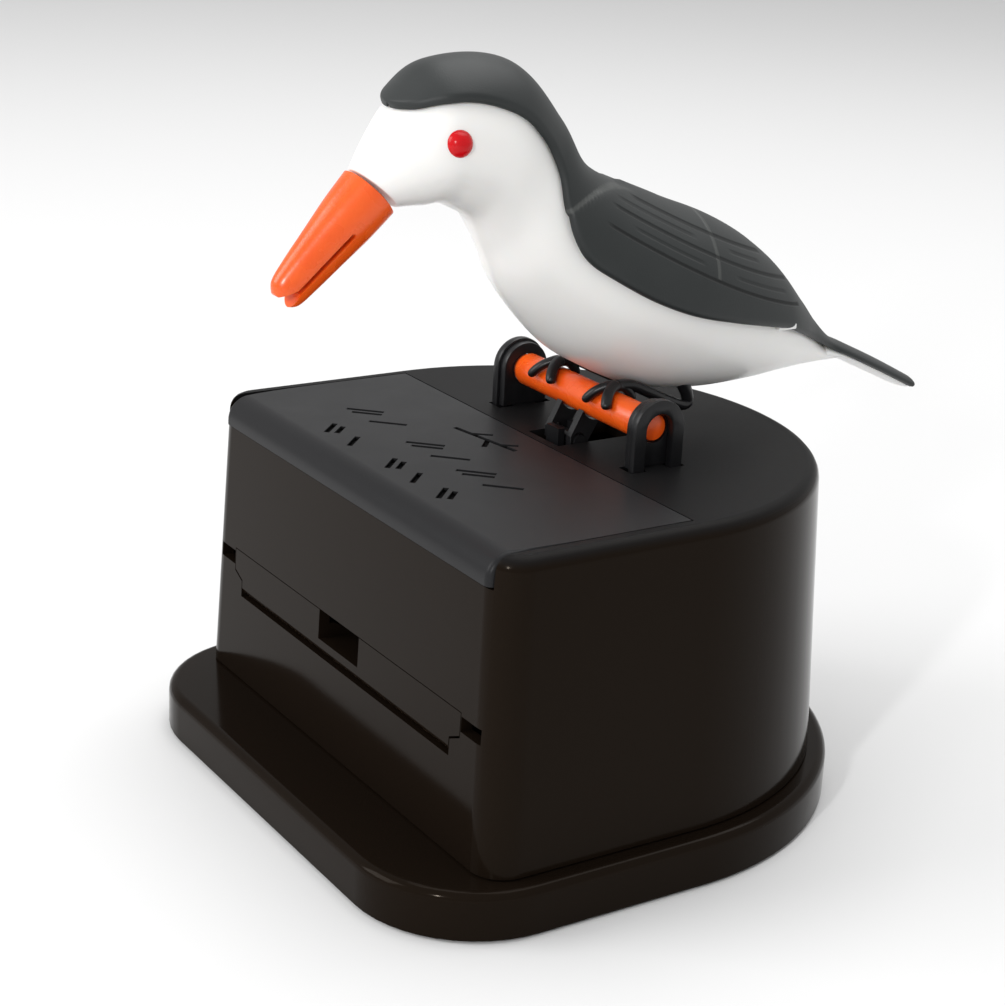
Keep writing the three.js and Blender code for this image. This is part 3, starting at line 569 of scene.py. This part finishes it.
# %% Pieces that keep the frame's own shape
def softened_copy(name, material, body, width):
    bm = bmesh.new()
    bm.from_mesh(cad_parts[name].data)
    bmesh.ops.scale(bm, vec=(1 / MM, 1 / MM, 1 / MM), verts=bm.verts)
    bmesh.ops.remove_doubles(bm, verts=bm.verts, dist=0.01)
    bmesh.ops.dissolve_limit(bm, angle_limit=math.radians(1), verts=bm.verts, edges=bm.edges)
    piece = place_piece(f"{name}_moulding", bm, material, body, [name], sharp=30)
    soften = piece.modifiers.new("bevel", "BEVEL")
    soften.width, soften.segments, soften.limit_method = width * MM, 2, "ANGLE"
    soften.angle_limit = math.radians(35)
    soften.harden_normals = True
    return piece


def finish_node(name, material):
    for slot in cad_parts[name].material_slots:
        slot.material = material


softened_copy("toothpick_tray", POLISHED, "tray", 0.12)
for name in ("crank_cheek_left", "crank_cheek_right"):
    softened_copy(name, SATIN, "bird", 0.2)
for name in ("bottom_cover", "hopper", "push_slide", "crank_pin"):
    finish_node(name, SATIN)
for name in ["tray_drive_pin", "return_spring"] + [f"base_screw_{i}" for i in range(1, 5)]:
    finish_node(name, STEEL)
print("frame pieces finished")

# %% [markdown]
# ## The perch
# The rod is one turning: a thick middle and two thinner journals. A profile is spun round the X
# axis, and its corners are rounded by two extra points.

# %% Perch rod
ROD_Y, ROD_Z, ROD_R, JOURNAL_R = 7.7, 57.6, 2.5, 2.0
BRACKET_NEAR, BRACKET_FAR = 16, 18.8


def spin_rod():
    bm = bmesh.new()
    half = [(0, ROD_R), (15.2, ROD_R), (15.55, ROD_R - 0.12), (15.7, ROD_R - 0.45), (15.7, JOURNAL_R),
            (17.1, JOURNAL_R), (17.33, JOURNAL_R - 0.1), (17.4, JOURNAL_R - 0.35), (17.4, 0)]
    profile = [(-x, r) for x, r in reversed(half[1:])] + half
    verts = [bm.verts.new((x, 0, r)) for x, r in profile]
    edges = [bm.edges.new(pair) for pair in zip(verts, verts[1:])]
    bmesh.ops.spin(bm, geom=verts + edges, cent=(0, 0, 0), axis=(1, 0, 0), angle=math.tau, steps=48,
                   use_merge=True)
    bmesh.ops.translate(bm, vec=(0, ROD_Y, ROD_Z), verts=bm.verts)
    return bm


place_piece("perch_rod_turning", spin_rod(), ORANGE, "bird", ["perch_rod"])

# %% [markdown]
# Each bracket is an arch. Its outer plate has a slot from below that ends round the rod's journal,
# and its slightly smaller inner collar closes that slot and leaves only a round hole.

# %% Perch brackets
CROWN_Z, ARCH_HALF, SLOT_HALF, BRACKET_FOOT = ROD_Z + 0.1, 4.3, 2.3, 49.2


def arch_plate(x0, x1, inset, foot, slotted):
    """The arch in side view, drawn along X, with small bevels round its faces."""
    half = ARCH_HALF - inset
    points = [(ROD_Y - half, foot)]
    points += [(ROD_Y - half * math.cos(a), CROWN_Z + half * math.sin(a))
               for a in (math.pi * i / 24 for i in range(25))]
    points += [(ROD_Y + half, foot)]
    if slotted:
        points += [(ROD_Y + SLOT_HALF, foot)]
        points += [(ROD_Y + SLOT_HALF * math.cos(a), ROD_Z + SLOT_HALF * math.sin(a))
                   for a in (math.pi * i / 16 for i in range(17))]
        points += [(ROD_Y - SLOT_HALF, foot)]
    bm = bmesh.new()
    face = bm.faces.new([bm.verts.new((x0, y, z)) for y, z in points])
    wall = bmesh.ops.extrude_face_region(bm, geom=[face])
    bmesh.ops.translate(bm, vec=(x1 - x0, 0, 0), verts=moved_verts(wall))
    bmesh.ops.recalc_face_normals(bm, faces=bm.faces)
    rims = [e for e in bm.edges if len(e.link_faces) == 2 and abs(e.verts[0].co.x - e.verts[1].co.x) < 0.001]
    rounded(bm, rims, 0.22, 2)
    return bm


def bore(x0, x1, radius):
    bm = bmesh.new()
    turned = Matrix.Rotation(math.pi / 2, 4, "Y")
    bmesh.ops.create_cone(bm, cap_ends=True, segments=40, radius1=radius, radius2=radius, depth=x1 - x0,
                          matrix=Matrix.Translation(((x0 + x1) / 2, ROD_Y, ROD_Z)) @ turned)
    return bm


for side, name in ((-1, "left"), (1, "right")):
    plate = arch_plate(side * (BRACKET_FAR - 1.4), side * BRACKET_FAR, 0, BRACKET_FOOT, slotted=True)
    collar = arch_plate(side * BRACKET_NEAR, side * (BRACKET_FAR - 1.4), 0.4, DECK_TOP + 0.05, slotted=False)
    carve(collar, bore(-20, 20, SLOT_HALF))
    place_piece(f"bracket_plate_{name}", plate, SATIN, "box", [f"perch_bracket_{name}"])
    place_piece(f"bracket_collar_{name}", collar, SATIN, "box", ())
print("perch built")

# %% [markdown]
# ## The bird
# The body has no straight line in it, so it is drawn as a row of oval sections along a bent spine.
# Each section has a place, a tilt, a half height and a half width. A sphere's rings are moved onto
# the sections, which keeps the mesh closed and evenly divided.

# %% Sections and how to read between them
BODY = [
    (-29.5, 91, -49, 4, 4.4), (-26, 93.6, -32, 6.1, 7), (-22.8, 96.1, -17, 7.8, 8.9),
    (-19.1, 97.3, -7, 9.5, 9.3), (-12, 96.1, 13, 10.5, 9.2), (-6.8, 90.2, 30, 10, 8.2),
    (-2.4, 83.2, 34, 10.2, 9.8), (7.1, 76.6, 37, 12.6, 12.8), (14.7, 73, 39, 13.6, 13.8),
    (22.8, 69.2, 39, 13.3, 13.3), (30.9, 66, 42, 11.2, 11.9), (37.7, 63.8, 43, 8.2, 9.9),
    (43.4, 62, 45, 5.3, 7.2), (49.7, 60.2, 48, 2.1, 4.8), (54.7, 59.4, 44, 0.7, 3.6),
]
TAIL = [
    (50.1, 60.6, 45, 1.9, 4.6), (54.7, 59.5, 40, 0.8, 4.4), (62, 56.3, 38, 0.65, 4.3),
    (69.4, 52.8, 38, 0.5, 3.9),
]
BEAK = [
    (-43.2, 76.9, -45, 1.5, 1.2), (-42.3, 77.8, -45, 2.6, 2), (-40.2, 80, -45, 3.1, 2.5),
    (-36.8, 83.5, -45, 3.6, 3.1), (-33.2, 87.2, -45, 4.1, 3.8), (-29.9, 90.6, -45, 4.3, 4.3),
]


def section_at(stations, t):
    """The section at t, from 0 at the first to 1 at the last, on a smooth curve through them all."""
    last = len(stations) - 1
    place = min(max(t, 0), 1) * last
    i = min(int(place), last - 1)
    f = place - i
    picked = [stations[min(max(i + k, 0), last)] for k in (-1, 0, 1, 2)]
    values = []
    for a, b, c, d in zip(*picked):
        values.append(0.5 * (2 * b + (c - a) * f + (2 * a - 5 * b + 4 * c - d) * f * f
                             + (3 * b - a - 3 * c + d) * f ** 3))
    return values


def on_section(section, angle, grow=0.0):
    """A point of the section, angle radians round from its top towards +X."""
    y, z, tilt, high, wide = section
    up = (high + grow) * math.cos(angle)
    lean = math.radians(tilt)
    return Vector(((wide + grow) * math.sin(angle), y + up * math.sin(lean), z + up * math.cos(lean)))


def spine_piece(stations, around=48, along=72, grow=0.0, blunt=0.04):
    """A closed skin over the stations; blunt is the share of its length over which each end rounds off."""
    bm = bmesh.new()
    bmesh.ops.create_uvsphere(bm, u_segments=around, v_segments=along, radius=1)
    for v in bm.verts:
        t = math.acos(max(-1, min(1, v.co.z))) / math.pi
        angle = math.atan2(v.co.x, v.co.y)
        y, z, tilt, high, wide = section_at(stations, (t - blunt) / (1 - 2 * blunt))
        end = min(t, 1 - t) / blunt
        shrink = math.sin(min(end, 1) * math.pi / 2) ** 0.7 if end < 1 else 1
        v.co = on_section((y, z, tilt, (high + grow) * shrink, (wide + grow) * shrink), angle)
    return bm


print("body length along its sections:", len(BODY), "sections")

# %% [markdown]
# The white body is hollow on the real object, with the charcoal back clipped over it. Its skin is
# one smooth piece. A white clip sits at the back's lower edge, near the tail.

# %% White body
def make_body():
    body = spine_piece(BODY, 56, 96)
    return place_piece("bird_body_skin", body, WHITE, "bird", ["bird_body"], sharp=0, subdivide=1)


make_body()
tail_blade = spine_piece(TAIL, 24, 32, blunt=0.06)
place_piece("tail_underside", tail_blade, WHITE, "bird", (), sharp=0, subdivide=1)

# %% [markdown]
# ## The charcoal back
# Crown, nape, wings and tail are one thin moulding that follows the body. In side view it ends on
# one long line, from the brow over the neck and along the flank. A grid is laid over the back: its
# columns run over the body from one side's line to the other's, so its rim is that line exactly.

# %% The line where the back ends
BACK_LINE = [
    (-30, 102.4), (-26.5, 102.8), (-23.1, 103.6), (-19.4, 103.8), (-15.6, 103.1), (-11.4, 101.4), (-8.4, 99),
    (-6.1, 96.4), (-4.5, 92.8), (-4.1, 88.6), (-3.3, 84.5), (-1.3, 81), (2.6, 78.3), (8.7, 75),
    (15.6, 72.4), (23.7, 70.5), (34.2, 68.3), (39.4, 66.7), (47.2, 63.6), (54.7, 60), (64.8, 55.2),
    (76, 49.9),
]
SMOOTH_LINE = [section_at(BACK_LINE, i / 240) for i in range(241)]
BACK = BODY[:-2] + TAIL
BACK_GROW, RIM_ROUND = 1.35, 0.95


def line_height(section):
    """How far up the section's own axis the back's line crosses it, or None."""
    y, z, tilt = section[:3]
    lean = math.radians(tilt)
    up = (math.sin(lean), math.cos(lean))
    best = None
    for (ya, za), (yb, zb) in zip(SMOOTH_LINE, SMOOTH_LINE[1:]):
        side_a = (ya - y) * up[1] - (za - z) * up[0]
        side_b = (yb - y) * up[1] - (zb - z) * up[0]
        if side_a * side_b <= 0 and side_a != side_b:
            f = side_a / (side_a - side_b)
            height = (ya + (yb - ya) * f - y) * up[0] + (za + (zb - za) * f - z) * up[1]
            if best is None or abs(height) < abs(best):
                best = height
    return best


def rim_angle(section, grow):
    height = line_height(section)
    high = section[3] + grow
    if height is None or height >= high:
        return 0.0
    return math.acos(max(-0.98, height / high))


def smoothstep(low, high, value):
    f = min(max((value - low) / (high - low), 0), 1)
    return f * f * (3 - 2 * f)


def make_back():
    steps = [i / 400 for i in range(401)]
    first = next(t for t in steps if rim_angle(section_at(BACK, t), BACK_GROW) > 0)
    bm = bmesh.new()
    bmesh.ops.create_grid(bm, x_segments=260, y_segments=64, size=1)
    for v in bm.verts:
        section = section_at(BACK, first + (1 - first) * ((v.co.x + 1) / 2) ** 1.15)
        spread = max(rim_angle(section, BACK_GROW), 0.02)
        across = math.copysign(1 - (1 - abs(v.co.y)) ** 1.6, v.co.y)
        point = on_section(section, spread * across, BACK_GROW)
        from_rim = min(spread * (1 - abs(across)) * (section[3] + section[4]) / 2, RIM_ROUND)
        grow = BACK_GROW - RIM_ROUND + math.sqrt(max(RIM_ROUND ** 2 - (RIM_ROUND - from_rim) ** 2, 0))
        depth = WING_RADIUS - math.hypot(point.y - WING_CENTRE[0], point.z - WING_CENTRE[1])
        inside = max(depth, point.y - 9) if point.y < 44 else -1
        near_ridge = smoothstep(0.08, 0.2, abs(spread * across))
        rise = WING_RISE * smoothstep(0, 0.5, inside) * near_ridge * (1 - smoothstep(36, 44, point.y))
        v.co = on_section(section, spread * across, grow + rise)
    piece = place_piece("bird_back_shell", bm, CHARCOAL, "bird", ["back_shell"], sharp=0)
    wall = piece.modifiers.new("wall", "SOLIDIFY")
    wall.thickness, wall.offset, wall.use_even_offset = 1.0 * MM, -1, False
    soften = piece.modifiers.new("bevel", "BEVEL")
    soften.width, soften.segments, soften.limit_method = 0.28 * MM, 2, "ANGLE"
    soften.angle_limit = math.radians(50)
    return piece


make_back()
print("charcoal back laid over the body")

# %% Clip in the back's lower edge
def rim_point(t):
    section = section_at(BACK, t)
    return on_section(section, rim_angle(section, BACK_GROW), BACK_GROW - 0.3)


CLIP_Y = 35.4
clip_place = rim_point(min((i / 400 for i in range(401)), key=lambda t: abs(rim_point(t).y - CLIP_Y)))
for side, name in ((-1, "left"), (1, "right")):
    x = side * clip_place.x
    clip = block(x - 0.9, x + 0.3, CLIP_Y - 1.7, CLIP_Y + 1.7, clip_place.z - 0.2, clip_place.z + 0.75)
    rounded(clip, list(clip.edges), 0.25, 2)
    place_piece(f"body_clip_{name}", clip, WHITE, "bird", ())

# %% [markdown]
# ## Beak, eyes and feet
# The beak is a cone of two prongs that grip a toothpick. It is split from the tip by a thin slit
# nearer its lower side, with a V where the pick goes in.

# %% Beak
TIP = Vector((0, -43.2, 76.9))
BACKWARD = Vector((0, 1, 1)).normalized()
UPWARD = Vector((0, -1, 1)).normalized()


def wedge(points, half_width):
    """A prism across the beak; each point is (distance back from the tip, height above the axis)."""
    bm = bmesh.new()
    side = Vector((half_width, 0, 0))
    face = bm.faces.new([bm.verts.new(TIP + BACKWARD * b + UPWARD * u - side) for b, u in points])
    prism = bmesh.ops.extrude_face_region(bm, geom=[face])
    bmesh.ops.translate(bm, vec=(2 * half_width, 0, 0), verts=moved_verts(prism))
    return bm


def make_beak():
    beak = spine_piece(BEAK, 40, 48, blunt=0.03)
    slit = wedge([(-1, -0.85), (12.6, -0.75), (13, -0.4), (12.6, -0.05), (-1, -0.15)], 6)
    notch = wedge([(-0.6, -1.9), (3.2, -0.45), (-0.6, 1.1)], 6)
    carve(beak, slit, notch)
    return place_piece("beak_prongs", beak, ORANGE, "bird", ["beak"], sharp=45)


make_beak()

# %% Eyes
for side, name in ((-1, "left"), (1, "right")):
    ball = bmesh.new()
    bmesh.ops.create_uvsphere(ball, u_segments=32, v_segments=24, radius=1.95)
    bmesh.ops.translate(ball, vec=(side * 8.3, -21.3, 98), verts=ball.verts)
    place_piece(f"eye_ball_{name}", ball, RED, "bird", [f"eye_{name}"], sharp=0)

# %% [markdown]
# Each foot grips the rod with two splayed toes in front and one toe behind. The leg runs back from
# it as a grooved strap, turns up at the heel and goes into the belly. All of it is one black
# moulding, made by sweeping a ring along a path.

# %% Feet and legs
def sweep(bm, path, radii, flat=1.0, groove=0.0, ring=14):
    """Rings of vertices along a path, bridged into a closed tube."""
    loops = []
    for i, (point, radius) in enumerate(zip(path, radii)):
        ahead = Vector(path[min(i + 1, len(path) - 1)]) - Vector(path[max(i - 1, 0)])
        turn = ahead.to_track_quat("Z", "X").to_matrix().to_4x4()
        made = bmesh.ops.create_circle(bm, cap_ends=False, segments=ring, radius=1)
        for k, v in enumerate(made["verts"]):
            angle = math.atan2(v.co.y, v.co.x)
            dent = 1 - groove * math.exp(-(math.sin(angle / 2) / 0.3) ** 2)
            v.co = Vector((v.co.x * radius * flat * dent, v.co.y * radius * dent, 0))
        bmesh.ops.transform(bm, matrix=Matrix.Translation(point) @ turn, verts=made["verts"])
        loops.append({e for v in made["verts"] for e in v.link_edges})
    for first, second in zip(loops, loops[1:]):
        bmesh.ops.bridge_loops(bm, edges=list(first | second))
    for end in (loops[0], loops[-1]):
        bmesh.ops.contextual_create(bm, geom=list(end))


def smooth_path(points, count):
    """Places along a smooth curve through the points."""
    return [Vector(section_at(points, i / (count - 1))) for i in range(count)]


def around_rod(x, angle, radius):
    return (x, ROD_Y + radius * math.cos(angle), ROD_Z + radius * math.sin(angle))


TOES = [(-2.7, 167), (2.9, 163), (0, 16)]  # sideways reach at the tip, angle round the rod


def make_leg(side, name):
    x = side * 7.2
    bm = bmesh.new()
    up = side * 6  # where the strap turns up at the heel
    strap = smooth_path([(x, 7.2, 61.1), (x, 10.6, 60.9), (x, 14, 59.4), (side * 6.7, 17.6, 57.7),
                         (side * 6.2, 20.8, 56.4), (up, 22.2, 56.5), (up, 22, 58), (up, 20.9, 60.2),
                         (up, 20.5, 62.3)], 40)
    sweep(bm, strap, [0.95 + 0.2 * smoothstep(24, 34, i) for i in range(40)], groove=0.28)
    for splay, reach in TOES:
        start, end = math.radians(88), math.radians(reach)
        toe = [around_rod(x + splay * (i / 11) ** 1.1, start + (end - start) * i / 11, 3.45)
               for i in range(12)]
        radii = [1.1 - 0.25 * smoothstep(0, 4, i) - 0.25 * smoothstep(9.8, 11, i) for i in range(12)]
        sweep(bm, toe, radii, flat=0.85)
    return place_piece(f"foot_and_leg_{name}", bm, SATIN, "bird", [f"leg_{name}"], sharp=0,
                       subdivide=1)


for side, name in ((-1, "left"), (1, "right")):
    make_leg(side, name)
print("feet on the perch")
